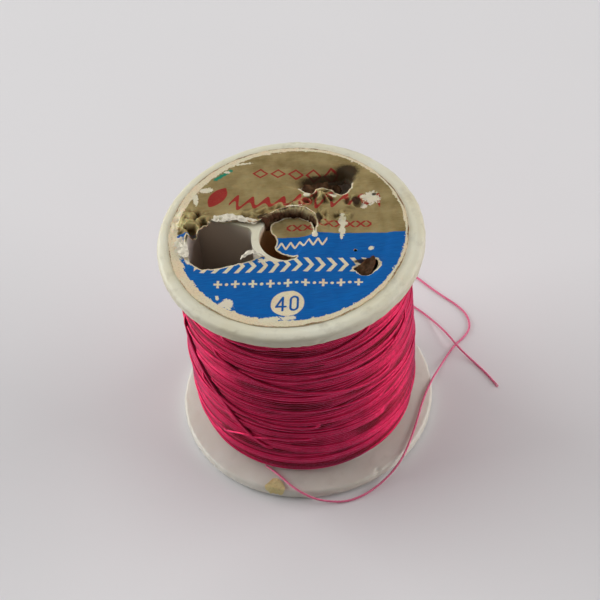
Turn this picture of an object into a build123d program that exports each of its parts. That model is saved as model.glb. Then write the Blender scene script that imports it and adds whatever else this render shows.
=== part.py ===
from build123d import *
from math import cos, radians, sin, tan
import os

# A part-used sewing-thread spool that stands on end: a hollow plastic barrel with two
# flanges pressed on its ends, a spindle tube held by three webs inside it, a paper label
# on each end, the thread wound on the barrel and its loose end lying on the floor.
# Millimetres, +Z up along the spool's axis, z = 0 on the underside of the bottom label.

# Driving dimensions
spool_height = 31.6
label_thickness = 0.15
flange_radius = 16.0
flange_rim_thickness = 1.5
flange_hub_thickness = 2.0
flange_outer_fillet = 0.55
flange_inner_fillet = 0.35
barrel_radius = 13.0
barrel_bore_radius = 12.4
spigot_radius = 12.75
tube_radius = 4.7
spindle_bore_radius = 3.8
web_thickness = 0.8
web_angles = (152.0, 272.0, 32.0)
web_overrun = 2.0
web_fillet = 1.0
corner_tolerance = 0.1
label_radius = 14.33
label_centre = (-0.08, 0.3)
hole_tool_height = 0.45
bottom_label_hole_radius = 4.3
thread_diameter = 0.3
winding_end_gap = 0.1

# Heights of the plastic's faces
body_bottom = label_thickness
body_top = spool_height - label_thickness
body_height = body_top - body_bottom
inner_face_hub = body_bottom + flange_hub_thickness
inner_face_rim = body_bottom + flange_rim_thickness
cone_end_radius = flange_radius - flange_inner_fillet


def inner_face_height(radius):
    """Height of the bottom flange's slightly coned inner face at this radius."""
    share = (radius - barrel_radius) / (cone_end_radius - barrel_radius)
    return inner_face_hub + share * (inner_face_rim - inner_face_hub)


def make_barrel():
    """Thin drum that the thread is wound on, stepped at each end to seat a flange."""
    with BuildPart() as drum:
        with BuildSketch(Plane.XZ):
            with BuildLine():
                Polyline(
                    (barrel_bore_radius, body_bottom),
                    (spigot_radius, body_bottom),
                    (spigot_radius, inner_face_hub),
                    (barrel_radius, inner_face_hub),
                    (barrel_radius, spool_height - inner_face_hub),
                    (spigot_radius, spool_height - inner_face_hub),
                    (spigot_radius, body_top),
                    (barrel_bore_radius, body_top),
                    close=True,
                )
            make_face()
        revolve(axis=Axis.Z)
    return drum.part


def make_bottom_flange():
    """Flange ring with a rounded rim and an inner face that thickens towards the barrel."""
    with BuildPart() as flange:
        with BuildSketch(Plane.XZ):
            with BuildLine():
                outer = flange_outer_fillet
                inner = flange_inner_fillet
                RadiusArc(
                    (flange_radius - outer, body_bottom),
                    (flange_radius, body_bottom + outer),
                    -outer,
                )
                Line((flange_radius, body_bottom + outer), (flange_radius, inner_face_rim - inner))
                RadiusArc(
                    (flange_radius, inner_face_rim - inner),
                    (cone_end_radius, inner_face_rim),
                    -inner,
                )
                Polyline(
                    (cone_end_radius, inner_face_rim),
                    (barrel_radius, inner_face_hub),
                    (spigot_radius, inner_face_hub),
                    (spigot_radius, body_bottom),
                    (flange_radius - outer, body_bottom),
                )
            make_face()
        revolve(axis=Axis.Z)
    return flange.part


def make_spindle_hub():
    """Spindle tube with three radial webs that reach the barrel's inner wall."""
    with BuildPart() as hub:
        with BuildSketch():
            Circle(tube_radius)
            for angle in web_angles:
                middle = barrel_bore_radius / 2
                with Locations((middle * cos(radians(angle)), middle * sin(radians(angle)))):
                    Rectangle(barrel_bore_radius + web_overrun, web_thickness, rotation=angle)
            junctions = [
                corner
                for corner in vertices()
                if abs(Vector(corner.X, corner.Y).length - tube_radius) < corner_tolerance
            ]
            fillet(junctions, web_fillet)
            Circle(barrel_bore_radius, mode=Mode.INTERSECT)
            Circle(spindle_bore_radius, mode=Mode.SUBTRACT)
        extrude(amount=body_height)
    return Pos(0, 0, body_bottom) * hub.part


def label_disc():
    disc = Cylinder(label_radius, label_thickness)
    return Pos(label_centre[0], label_centre[1], label_thickness / 2) * disc


def tear(points):
    """A smooth closed hole through the top label."""
    outline = Spline(points, periodic=True)
    hole = extrude(make_face(outline), amount=hole_tool_height)
    return Pos(0, 0, -label_thickness) * hole


# Outlines of the holes torn through the top label, as x, y
side_hole = [
    (-12.45, 1.2),
    (-12.5, -1.3),
    (-11.3, -2.95),
    (-9.2, -3.75),
    (-6.5, -3.25),
    (-4.8, -1.9),
    (-4.75, 0.9),
    (-5.5, 3.0),
    (-7.4, 3.4),
    (-9.6, 3.2),
    (-11.2, 2.1),
]
bore_hole = [
    (-3.75, 0.1),
    (-3.5, -1.7),
    (-1.9, -3.55),
    (0.5, -3.6),
    (-1.1, -2.85),
    (-2.1, -1.3),
    (-2.25, 0.5),
    (-2.0, 2.2),
    (-0.3, 3.7),
    (-2.4, 3.5),
    (-3.6, 1.9),
]
back_hole = [
    (1.6, 8.1),
    (2.6, 8.95),
    (4.5, 9.2),
    (6.6, 9.1),
    (7.9, 8.5),
    (8.1, 7.3),
    (7.3, 6.05),
    (6.3, 5.85),
    (4.9, 7.15),
    (2.8, 6.6),
]
leaf_hole = [
    (7.0, -6.0),
    (8.4, -5.0),
    (10.0, -5.1),
    (9.2, -6.5),
    (7.9, -6.7),
]


def make_top_label():
    """Paper disc glued over the top end, with the holes torn through it."""
    label = label_disc()
    for outline in (side_hole, bore_hole, back_hole, leaf_hole):
        label -= tear(outline)
    return Pos(0, 0, body_top) * label


def make_bottom_label():
    """Paper disc over the bottom end, punched clean for the spindle."""
    return label_disc() - Cylinder(bottom_label_hole_radius, hole_tool_height)


# Radius of the wound thread at each height, from the bottom turn to the top turn
winding_profile = [
    (13.2, inner_face_hub + winding_end_gap),
    (13.75, 4.7),
    (14.1, 9.0),
    (14.15, 14.5),
    (14.05, 20.0),
    (14.0, 24.5),
    (13.7, 27.4),
    (13.3, spool_height - inner_face_hub - winding_end_gap),
]


def make_thread_winding():
    """The wound thread as one closed sleeve about the barrel, fullest at mid height."""
    bottom = winding_profile[0][1]
    top = winding_profile[-1][1]
    with BuildPart() as winding:
        with BuildSketch(Plane.XZ):
            with BuildLine():
                Spline(winding_profile)
                Polyline(
                    winding_profile[-1],
                    (barrel_radius, top),
                    (barrel_radius, bottom),
                    winding_profile[0],
                )
            make_face()
        revolve(axis=Axis.Z)
    return winding.part


# The loose end of the thread: off the lowest turn, across the bottom flange and over its
# rim, along the floor, over the rim again, round a loop behind the spool and back across
# itself to the cut end.
tail_route = [
    (-6.3, -11.7, 2.4),
    (-5.4, -12.6, 2.35),
    (-4.4, -13.7, 2.2),
    (-3.4, -15.0, 2.05),
    (-2.1, -16.1, 1.75),
    (-0.6, -16.7, 1.05),
    (1.2, -16.9, 0.4),
    (3.4, -17.0, 0.15),
    (5.6, -16.3, 0.15),
    (7.4, -15.3, 0.4),
    (9.0, -14.3, 1.0),
    (10.4, -13.1, 1.7),
    (11.6, -11.3, 2.1),
    (12.6, -9.0, 2.05),
    (13.5, -6.7, 2.05),
    (14.3, -4.4, 2.05),
    (15.3, -2.1, 1.95),
    (16.3, -0.1, 1.65),
    (17.2, 1.7, 0.95),
    (18.0, 3.3, 0.35),
    (18.95, 4.85, 0.15),
    (20.0, 6.15, 0.15),
    (21.4, 7.3, 0.15),
    (22.4, 8.9, 0.15),
    (22.2, 11.1, 0.15),
    (21.0, 13.0, 0.15),
    (19.5, 14.6, 0.15),
    (18.0, 16.4, 0.15),
    (16.2, 18.8, 0.15),
    (13.8, 21.1, 0.15),
    (10.7, 22.7, 0.15),
    (7.6, 22.6, 0.15),
    (5.7, 21.2, 0.15),
    (5.6, 19.2, 0.15),
    (7.4, 17.9, 0.15),
    (10.8, 17.0, 0.15),
    (14.0, 14.9, 0.15),
    (16.3, 12.4, 0.15),
    (17.9, 10.0, 0.35),
    (19.1, 7.6, 0.85),
    (20.2, 5.2, 0.85),
    (21.2, 3.9, 0.4),
    (22.2, 2.6, 0.15),
    (23.2, 1.0, 0.15),
    (24.0, -0.5, 0.15),
    (24.5, -1.6, 0.15),
]
arc_share = 0.45


def corner_radii(route):
    """The largest sensible bend at each inner point of a route."""
    points = [Vector(*point) for point in route]
    radii = []
    for before, here, after in zip(points, points[1:], points[2:]):
        turn = (here - before).get_angle(after - here)
        shorter = min((here - before).length, (after - here).length)
        radii.append(arc_share * shorter / tan(radians(turn / 2)))
    return radii


def make_thread_tail():
    """The loose thread as a plain tube of straight runs and tangent arcs."""
    radii = corner_radii(tail_route)
    with BuildPart() as tail:
        with BuildLine() as path:
            FilletPolyline(tail_route, radius=radii)
        centreline = path.wire()
        with BuildSketch(Plane(origin=centreline @ 0, z_dir=centreline % 0)):
            Circle(thread_diameter / 2)
        sweep(path=centreline)
    section = Circle(thread_diameter / 2).area
    print("tail length", round(centreline.length, 2))
    print("tail volume over section", round(tail.part.volume / section, 2))
    print("tail radii", [round(radius, 1) for radius in radii], "smallest", round(min(radii), 2))
    return tail.part


# A stray scrap of label paper on the bottom flange's inner face, near its front rim
scrap_thickness = 0.1
scrap_skin_start = barrel_radius + 0.5
scrap_skin_end = cone_end_radius - 0.01
scrap_column_height = spool_height / 2
scrap_outline = [(-5.8, -13.35), (-4.95, -13.7), (-4.6, -14.35), (-5.1, -14.75), (-6.2, -14.35)]


def make_paper_scrap():
    """Thin patch that follows the coned face under it."""
    start = scrap_skin_start
    end = scrap_skin_end
    with BuildPart() as skin:
        with BuildSketch(Plane.XZ):
            with BuildLine():
                Polyline(
                    (start, inner_face_height(start)),
                    (end, inner_face_height(end)),
                    (end, inner_face_height(end) + scrap_thickness),
                    (start, inner_face_height(start) + scrap_thickness),
                    close=True,
                )
            make_face()
        revolve(axis=Axis.Z)
    column = extrude(make_face(Polyline(*scrap_outline, close=True)), amount=scrap_column_height)
    return skin.part & column


bottom_flange = make_bottom_flange()
parts = {
    "barrel": make_barrel(),
    "spindle_hub": make_spindle_hub(),
    "bottom_flange": bottom_flange,
    "top_flange": Pos(0, 0, spool_height) * Rot(180, 0, 0) * bottom_flange,
    "top_label": make_top_label(),
    "bottom_label": make_bottom_label(),
    "thread_winding": make_thread_winding(),
    "thread_tail": make_thread_tail(),
    "paper_scrap": make_paper_scrap(),
}

os.makedirs("parts", exist_ok=True)
for name, shape in parts.items():
    export_step(shape, f"parts/{name}.step")
    print(name, round(shape.volume, 3))
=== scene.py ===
import math
import random

import bpy
import numpy as np
from mathutils import Matrix, Vector, noise
from mathutils.geometry import delaunay_2d_cdt


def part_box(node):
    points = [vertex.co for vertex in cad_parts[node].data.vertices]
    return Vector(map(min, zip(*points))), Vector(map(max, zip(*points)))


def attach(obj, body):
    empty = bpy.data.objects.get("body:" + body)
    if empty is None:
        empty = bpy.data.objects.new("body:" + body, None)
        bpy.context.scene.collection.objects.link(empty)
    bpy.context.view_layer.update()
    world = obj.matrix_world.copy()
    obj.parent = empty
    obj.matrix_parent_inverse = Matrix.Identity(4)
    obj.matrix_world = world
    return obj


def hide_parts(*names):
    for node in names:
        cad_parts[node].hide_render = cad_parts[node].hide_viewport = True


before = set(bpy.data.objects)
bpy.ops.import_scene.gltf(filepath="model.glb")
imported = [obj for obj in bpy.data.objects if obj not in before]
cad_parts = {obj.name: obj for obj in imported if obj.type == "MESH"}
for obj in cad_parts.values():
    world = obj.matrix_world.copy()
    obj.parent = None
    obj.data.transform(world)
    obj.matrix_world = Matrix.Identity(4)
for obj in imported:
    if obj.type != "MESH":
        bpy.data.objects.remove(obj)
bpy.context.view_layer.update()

# The looks of a part-used spool of pink sewing thread. Shapes are worked out in millimetres
# in the part's own frame, and add_mesh turns them into metres.
MM = 0.001


# ---- The frame's own sizes

def radius_and_height(node):
    """Distance from the axis and height of each of a CAD node's vertices."""
    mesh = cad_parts[node].data
    flat = np.empty(len(mesh.vertices) * 3)
    mesh.vertices.foreach_get("co", flat)
    points = flat.reshape(-1, 3) / MM
    return np.column_stack((np.hypot(points[:, 0], points[:, 1]), points[:, 2]))


label_low, label_high = np.array(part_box("top_label")) / MM
label_plane = label_low[2]
label_radius = (label_high[0] - label_low[0]) / 2
flange_radius, _, flange_top = np.array(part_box("top_flange")[1]) / MM
winding_low, winding_high = (corner[2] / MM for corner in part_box("thread_winding"))
winding_section = radius_and_height("thread_winding")
barrel_radius = winding_section[:, 0].min()
barrel_bore_radius = radius_and_height("barrel")[:, 0].min()
tube_inner_radius = radius_and_height("spindle_hub")[:, 0].min()
tube_outer_radius = 4.7
web_angles = (152.0, 272.0, 32.0)
web_thickness = 0.8


# ---- Mesh helpers

def add_object(name, data):
    item = bpy.data.objects.new(name, data)
    bpy.context.collection.objects.link(item)
    return item


def add_mesh(name, points, faces, finishes, face_finish=None, fields=None, crease=50):
    """A smooth-shaded mesh object. points are in millimetres, fields are vertex attributes."""
    mesh = bpy.data.meshes.new(name)
    mesh.from_pydata((np.asarray(points) * MM).tolist(), [], faces)
    for finish in finishes:
        mesh.materials.append(finish)
    if face_finish is not None:
        mesh.polygons.foreach_set("material_index", np.asarray(face_finish, dtype=np.int32))
    for field, values in (fields or {}).items():
        values = np.asarray(values, dtype=np.float32)
        kind, member = ("FLOAT", "value") if values.ndim == 1 else ("FLOAT_VECTOR", "vector")
        mesh.attributes.new(field, kind, "POINT").data.foreach_set(member, values.ravel())
    mesh.shade_smooth()
    mesh.set_sharp_from_angle(angle=math.radians(crease))
    return add_object(name, mesh)


def place(piece, slot, *stands_for):
    """The piece rides on the spool and stands for CAD nodes, which it hides.

    slot is not used.
    """
    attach(piece, "root")
    if stands_for:
        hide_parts(*stands_for)


def waver(points, grain, seed=0.0):
    """Smooth noise from -1 to 1 at each point; grain is the size of its lumps."""
    shift = Vector((seed * 7.3, seed * 3.1, seed * 5.7))
    return np.array([noise.noise(Vector(point) / grain + shift) for point in points])


def creases(points, grain, seed=0.0):
    """Sharp-ridged noise up to 1, like folds in crumpled paper."""
    return 1 - np.abs(waver(points, grain, seed)) * 2


def rise(value, start, end):
    """Smooth step from 0 at start to 1 at end."""
    share = np.clip((value - start) / (end - start), 0, 1)
    return share * share * (3 - 2 * share)


def unit(vectors):
    """The vectors at a length of 1."""
    return vectors / np.linalg.norm(vectors, axis=-1, keepdims=True)


def travel_along(path):
    """Distance along a path at each of its points."""
    return np.concatenate(([0.0], np.cumsum(np.linalg.norm(np.diff(path, axis=0), axis=1))))


def about_axis(radius, turn, height):
    """Points at a distance from the spool's axis, an angle about it and a height."""
    parts = np.broadcast_arrays(radius * np.cos(turn), radius * np.sin(turn), height)
    return np.stack(parts, axis=-1)


def on_plane(spots):
    """Flat points as points in space."""
    return np.column_stack((spots, np.zeros(len(spots))))


def grid_faces(rows, columns, wrap_rows=False, wrap_columns=False):
    """Quads over a grid of points that is stored row by row."""
    row = np.arange(rows if wrap_rows else rows - 1)[:, None] * columns
    column = np.arange(columns if wrap_columns else columns - 1)[None, :]
    next_row = (row + columns) % (rows * columns)
    next_column = (column + 1) % columns
    quads = (row + column, next_row + column, next_row + next_column, row + next_column)
    return np.stack(quads, axis=-1).reshape(-1, 4).tolist()


def tube(path, radius, sides, outward, travel, tone=0.0):
    """A closed tube about a path: its points, faces, strand values and tones.

    outward is a direction at each point of the path. A strand value is a point's direction
    round the tube and its travel along it, for the twist of the plies.
    """
    along = unit(np.gradient(path, axis=0))
    side = unit(outward - (outward * along).sum(axis=1)[:, None] * along)
    other = np.cross(along, side)
    angles = np.arange(sides) * 2 * math.pi / sides
    cos, sin = np.cos(angles)[None, :, None], np.sin(angles)[None, :, None]
    ring = cos * side[:, None] + sin * other[:, None]
    reach = np.broadcast_to(radius, len(path))[:, None, None]
    points = (path[:, None] + ring * reach).reshape(-1, 3)
    faces = grid_faces(len(path), sides, wrap_columns=True)
    faces.append(list(range(sides))[::-1])
    faces.append(list(range(len(points) - sides, len(points))))
    around = np.tile(angles, len(path))
    strand = np.column_stack((np.cos(around), np.sin(around), np.repeat(travel, sides)))
    return points, faces, strand, np.repeat(np.broadcast_to(tone, len(path)), sides)


def add_tubes(name, tubes, finish):
    """One mesh of many tubes."""
    points, faces, strands, tones = zip(*tubes)
    starts = np.cumsum([0] + [len(own) for own in points])
    joined = [
        [corner + start for corner in face]
        for own, start in zip(faces, starts.tolist())
        for face in own
    ]
    fields = {"strand": np.vstack(strands), "tone": np.concatenate(tones)}
    return add_mesh(name, np.vstack(points), joined, [finish], fields=fields, crease=80)


# ---- Shader helpers

def feed(entry, source):
    """Sets a shader input to a number or colour, or links it to an output."""
    if isinstance(source, bpy.types.NodeSocket):
        entry.id_data.links.new(source, entry)
    else:
        entry.default_value = source


class Value:
    """A number that varies over a surface, written with ordinary arithmetic."""

    def __init__(self, socket):
        self.socket = socket

    def math(self, operation, other=0.0, clamp=False):
        node = self.socket.id_data.nodes.new("ShaderNodeMath")
        node.operation = operation
        node.use_clamp = clamp
        feed(node.inputs[0], self.socket)
        feed(node.inputs[1], other.socket if isinstance(other, Value) else other)
        return Value(node.outputs[0])

    def __add__(self, other):
        return self.math("ADD", other)

    def __sub__(self, other):
        return self.math("SUBTRACT", other)

    def __mul__(self, other):
        return self.math("MULTIPLY", other)

    def __neg__(self):
        return self * -1.0

    def __abs__(self):
        return self.math("ABSOLUTE")

    def least(self, *others):
        value = self
        for other in others:
            value = value.math("MINIMUM", other)
        return value

    def most(self, other):
        return self.math("MAXIMUM", other)

    def clamped(self):
        return self.math("ADD", clamp=True)

    def repeat(self, pitch):
        """Distance from the middle of the nearest of a row of marks that are a pitch apart."""
        return (self * (1 / pitch) + 0.5).math("FRACT") * pitch - pitch / 2

    def inside(self, blur=0.05):
        """1 where this distance is negative and 0 where it is positive."""
        return (self * (-1 / blur) + 0.5).clamped()

    def above(self, level, blur):
        """0 under level - blur / 2, 1 over level + blur / 2."""
        return ((self - level) * (1 / blur) + 0.5).clamped()


def length(a, b):
    return (a * a + b * b).math("SQRT")


def from_segment(u, v, start, end):
    """Distance from a straight stroke."""
    run = (end[0] - start[0], end[1] - start[1])
    square = run[0] ** 2 + run[1] ** 2
    share = ((u - start[0]) * (run[0] / square) + (v - start[1]) * (run[1] / square)).clamped()
    return length(u - start[0] - share * run[0], v - start[1] - share * run[1])


class Finish:
    """A procedural material built round one Principled shader."""

    def __init__(self, name, **settings):
        self.material = bpy.data.materials.new(name)
        self.material.use_nodes = True
        self.shader = self.material.node_tree.nodes["Principled BSDF"]
        for entry, value in settings.items():
            feed(self.shader.inputs[entry.replace("_", " ")], value)

    def node(self, kind, **inputs):
        """A shader node, its inputs fed."""
        node = self.material.node_tree.nodes.new("ShaderNode" + kind)
        for entry, source in inputs.items():
            feed(node.inputs[entry], source)
        return node

    def attribute(self, name, output):
        node = self.node("Attribute")
        node.attribute_name = name
        return node.outputs[output]

    def field(self, name):
        return Value(self.attribute(name, "Fac"))

    def split(self, vector):
        return [Value(output) for output in self.node("SeparateXYZ", Vector=vector).outputs]

    def position(self):
        """Position on the object, in millimetres."""
        return self.stretched(self.node("TexCoord").outputs["Object"], [1 / MM] * 3)

    def stretched(self, vector, scale):
        return self.node("Mapping", Vector=vector, Scale=scale).outputs[0]

    def noise(self, vector, scale, detail=3.0, roughness=0.55):
        node = self.node(
            "TexNoise", Vector=vector, Scale=scale, Detail=detail, Roughness=roughness
        )
        return Value(node.outputs["Fac"])

    def grain(self, vector):
        """The fine grain of paper."""
        return self.noise(vector, 5.0, 6.0, 0.75)

    def coats(self, tint, *coats):
        """A colour with others over it, each with its share. A colour may be a socket."""
        for share, colour in coats:
            node = self.node("Mix")
            node.data_type = "RGBA"
            feed(node.inputs["Factor"], share.socket)
            feed(node.inputs[6], tint)
            feed(node.inputs[7], colour)
            tint = node.outputs[2]
        return tint

    def done(self, tint, height=None, depth=0.0, rough=None):
        """The material, with its colour, its roughness, and a bump of a depth in millimetres."""
        feed(self.shader.inputs["Base Color"], tint)
        if height is not None:
            bump = self.node("Bump", Strength=1.0, Distance=depth * MM, Height=height.socket)
            feed(self.shader.inputs["Normal"], bump.outputs[0])
        if rough is not None:
            feed(self.shader.inputs["Roughness"], rough.socket)
        return self.material


def srgb(red, green, blue):
    """Scene-linear colour, with its alpha, from the usual 0 to 255 values."""
    levels = [level / 255 for level in (red, green, blue)]
    linear = [level / 12.92 if level <= 0.04 else ((level + 0.055) / 1.055) ** 2.4 for level in levels]
    return (*linear, 1.0)


# ---- Plastic finishes

cream = srgb(222, 220, 202)
aged_cream = srgb(212, 204, 174)
# Dark brown for dirt marks and for painted shade on the flange edge
grime_and_shade = srgb(112, 92, 70)
# Painted shade and warm reflected light in the spindle bore
bore_shade_brown = srgb(230, 190, 142)


def plastic_finish(name, clean=cream, aged=aged_cream, inner_shade_tint=None, dirt_and_shade=1.0):
    """Moulded cream plastic, yellowed in patches, with handling marks and dirt, and painted shade round
    its outer edge.

    The inside colour, when given, is painted shade and pink reflected light, which it goes to down
    inside the spool, below its top face.
    """
    finish = Finish(
        name, Specular_IOR_Level=0.45, Subsurface_Weight=0.12, Subsurface_Scale=0.0012,
        Subsurface_Radius=(1.0, 0.8, 0.6),
    )
    spot = finish.position()
    x, y, z = finish.split(spot)
    from_axis = length(x, y)
    patches = finish.noise(spot, 0.16, 4.0)
    specks = finish.noise(spot, 2.6, 5.0, 0.7)
    smears = finish.noise(finish.stretched(spot, (0.5, 0.5, 2.0)), 0.9, 4.0, 0.6)
    tint = finish.coats(
        clean,
        (patches.above(0.5, 0.5), aged),
        (specks.above(0.72, 0.06) * (0.55 * dirt_and_shade), grime_and_shade),
        (smears.above(0.64, 0.16) * (0.22 * dirt_and_shade), grime_and_shade),
        # Painted shade: the outer edge of a flange darkened all round
        (from_axis.above(flange_radius - 0.2, 0.3) * (0.3 * dirt_and_shade), grime_and_shade),
    )
    # Painted shade and pink reflected light, deeper down inside the spool and in the spindle bore
    if inner_shade_tint:
        depth = -z + flange_top
        in_bore = (from_axis - tube_inner_radius - 0.3).inside(0.3) * (depth * 0.8 - 0.2).clamped()
        tint = finish.coats(tint, ((depth * 1.6 - 0.1).clamped(), inner_shade_tint), (in_bore, bore_shade_brown))
    height = specks * 0.4 + finish.noise(spot, 9.0, 2.0) * 0.6
    return finish.done(tint, height, 0.02, smears * 0.25 + 0.34)


flange_plastic = plastic_finish("cream_plastic")
hub_plastic = plastic_finish("hub_plastic", inner_shade_tint=srgb(224, 212, 196))
barrel_plastic = plastic_finish("barrel_plastic", inner_shade_tint=srgb(224, 208, 200))
base_plastic = plastic_finish("base_plastic", srgb(217, 214, 205), srgb(207, 201, 187), dirt_and_shade=0.4)


# ---- Label finishes

gold = srgb(160, 142, 98)
gold_light = srgb(168, 152, 110)
gold_dark = srgb(124, 105, 64)
blue = srgb(8, 104, 178)
blue_light = srgb(96, 150, 190)
blue_dark = srgb(6, 82, 152)
red = srgb(150, 24, 32)
teal = srgb(38, 128, 100)
paper_cream = srgb(220, 212, 182)
paper_peach = srgb(224, 200, 166)
paper_white = srgb(216, 208, 188)
paper_brown = srgb(120, 88, 56)
# Painted shade for creases and painted highlight for ridges of crumpled paper
painted_crease_shade = srgb(62, 48, 18)
painted_ridge_highlight = srgb(196, 186, 128)
# Dark brown for flecks in the paper's grain and for painted shade in dents and holes
soil_and_shade = srgb(46, 31, 17)

# The print: the angle of its rows, where blue meets gold, the printed disc and the round
# panel with the thread size
row_tilt = math.radians(-7.0)
colour_line = 0.355
print_middle = (0.13, 0.42)
print_radius = 13.62
numeral_middle = (-1.2, -10.4)
numeral_disc_radius = 1.95
print_blur = 0.07

# Heights of the rows of ornaments, and how far apart the ornaments are
diamond_row, diamond_pitch = 10.45, 2.15
wave_row, wave_pitch = 5.55, 1.9
cross_row, cross_pitch = 1.85, 1.27
zigzag_row, zigzag_pitch = -1.0, 1.1
chevron_row, chevron_pitch = -4.53, 1.36
plus_row, plus_pitch = -7.3, 2.06
leaf_middle = (-9.15, 6.6)


def outside(u, v, left, right, low, high):
    """How far a point is outside the strip that a row of marks fills."""
    across = abs(u - (left + right) / 2) - (right - left) / 2
    return across.most(abs(v - (low + high) / 2) - (high - low) / 2)


def numeral_marks(u, v):
    """Distance to the strokes of the thread size, a plain 40."""
    stroke = 0.14
    spacing = 0.78
    stem = from_segment(u + spacing, v, (0.22, 1.0), (0.22, -1.0))
    slope = from_segment(u + spacing, v, (0.22, 1.0), (-0.52, -0.38))
    bar = from_segment(u + spacing, v, (-0.52, -0.38), (0.56, -0.38))
    nought = abs(from_segment(u - spacing, v, (0.0, 0.56), (0.0, -0.56)) - 0.42)
    return stem.least(slope, bar, nought) - stroke


def red_marks(u, v):
    """Distance to the red ornaments on the gold half."""
    diamonds = abs(u - 0.2).repeat(diamond_pitch)
    diamond = abs(abs(diamonds) * 0.75 + abs(v - diamond_row) - 0.62) - 0.13
    diamond = diamond.most(outside(u, v, -5.2, 5.6, 9.4, 11.5))
    slant = u - (v - 5.6) * 0.35
    wave = (slant * (2 * math.pi / wave_pitch)).math("SINE")
    swing = (slant * 0.55).math("SINE") * 0.25 + 0.75
    line = abs(v - wave_row - wave * swing) - 0.42 - wave * 0.1
    line = line.most(outside(u, v, -7.7, 10.6, 4.2, 7.0))
    from_leaf = (u - leaf_middle[0], v - leaf_middle[1])
    leaf_u = from_leaf[0] * 0.62 - from_leaf[1] * 0.36
    leaf_v = from_leaf[1] * 0.8 + from_leaf[0] * 0.28
    leaf = length(abs(leaf_u) + 1.5, leaf_v) - 2.15
    crosses = (u - 4.5).repeat(cross_pitch)
    from_row = abs(v - cross_row)
    cross = (abs(abs(crosses) - from_row) - 0.17).most(from_row - 0.52)
    cross = cross.most(outside(u, v, -0.6, 9.6, 1.2, 2.5))
    berry = length(u - 1.75, v - 5.3) - 0.72
    return diamond.least(line, leaf, cross, berry)


def cream_marks(u, v):
    """Distance to the unprinted ornaments on the blue half."""
    zigzag = abs(abs(u.repeat(zigzag_pitch)) * 1.9 - 0.5 + (v - zigzag_row)) * 0.55 - 0.14
    zigzag = zigzag.most(outside(u, v, -2.4, 4.4, -1.6, -0.4))
    chevron = abs((u + abs(v - chevron_row) * 0.75).repeat(chevron_pitch)) - 0.27
    chevron = chevron.most(outside(u, v, -11.2, 10.9, -5.55, -3.5))
    pluses = abs(u.repeat(plus_pitch))
    from_row = abs(v - plus_row)
    plus = (pluses.least(from_row) - 0.14).most(pluses - 0.5).most(from_row - 0.56)
    dots = length((u - plus_pitch / 2).repeat(plus_pitch), v - plus_row) - 0.2
    row = plus.least(dots).most(outside(u, v, -8.8, 8.8, -8.0, -6.6))
    return zigzag.least(chevron, row)


def label_finish():
    """Paper printed gold over blue, scuffed, with the print torn off in places."""
    finish = Finish(
        "printed_paper", Specular_IOR_Level=0.1, Subsurface_Weight=0.2, Subsurface_Scale=0.0004
    )
    flat = finish.attribute("flat", "Vector")
    x, y, _ = finish.split(flat)
    cos, sin = math.cos(row_tilt), math.sin(row_tilt)
    fray = finish.noise(flat, 3.2, 4.0, 0.7) - 0.5
    u = x * cos + y * sin + fray * 0.12
    v = y * cos - x * sin + fray * 0.12
    grain = finish.grain(flat)
    clouds = finish.noise(flat, 0.35, 4.0)
    streaks = finish.noise(finish.stretched(flat, (0.55, 5.5, 1.0)), 1.0, 5.0, 0.7)

    paper = finish.coats(
        paper_cream,
        (clouds.above(0.52, 0.3), paper_peach),
        (grain.above(0.6, 0.2) * 0.4, paper_brown),
    )
    smear = from_segment(x, y, (-8.3, 10.6), (-6.4, 11.75)) + fray * 0.7 - 0.24
    upper = finish.coats(
        gold_dark,
        (clouds.above(0.5, 0.35), gold),
        (streaks.above(0.6, 0.25) * 0.35, gold_light),
        (red_marks(u, v).inside(print_blur) * (grain * 0.5 + 0.65).clamped(), red),
        (smear.inside(0.15), teal),
    )
    panel_x, panel_y = numeral_middle
    disc = length(x - panel_x, y - panel_y) - numeral_disc_radius + fray * 0.08
    digits = numeral_marks(u - (panel_x * cos + panel_y * sin), v - (panel_y * cos - panel_x * sin))
    lower = finish.coats(
        blue_dark,
        (streaks.above(0.55, 0.4), blue),
        (streaks.above(0.72, 0.08) * 0.35, blue_light),
        (cream_marks(u, v).inside(print_blur), paper),
        (disc.inside(print_blur), paper),
        (digits.most(disc).inside(print_blur), blue_dark),
    )
    printed = finish.coats(upper, ((v - colour_line).inside(0.08), lower))

    scrape = finish.noise(flat, 0.9, 5.0, 0.7).above(0.56, 0.1)
    edge = length(x - print_middle[0], y - print_middle[1]) - print_radius
    edge = edge + fray * 0.4 + scrape * 0.22
    tatter = finish.noise(flat, 1.3, 5.0, 0.7) - 0.5
    worn = (finish.field("bare") + fray * 1.1 + tatter * 1.5).above(0.5, 0.1)
    lip = (finish.field("torn") + fray * 0.35).above(0.16, 0.1)
    scuffs = finish.noise(flat, 1.7, 6.0, 0.8).above(0.745, 0.03)
    show = edge.inside(0.06) * lip * (-worn + 1.0) * (-scuffs * 0.8 + 1.0)
    fold = finish.field("fold")
    dirt = (finish.field("rim") + fray * 0.3 + (clouds - 0.5) * 0.9).above(0.04, 0.16)
    # Painted shade: the paper goes dark brown in the dents and by the holes
    painted_shade = (finish.field("painted_shade") + fray * 0.5).above(0.42, 0.3)
    bare = (worn * (clouds.above(0.5, 0.2) * 0.7 + 0.3), paper_white)
    tint = finish.coats(
        paper_brown,
        (dirt, finish.coats(paper, bare, (show, printed))),
        # Painted shade in the creases and painted highlight on the ridges of crumpled paper
        ((-fold).clamped() * 0.92, painted_crease_shade),
        (fold.clamped() * 0.7, painted_ridge_highlight),
        (painted_shade * 0.92, soil_and_shade),
    )
    return finish.done(tint, grain * 0.7 + show * 0.3, 0.03, -show * 0.18 + 0.74)


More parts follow.
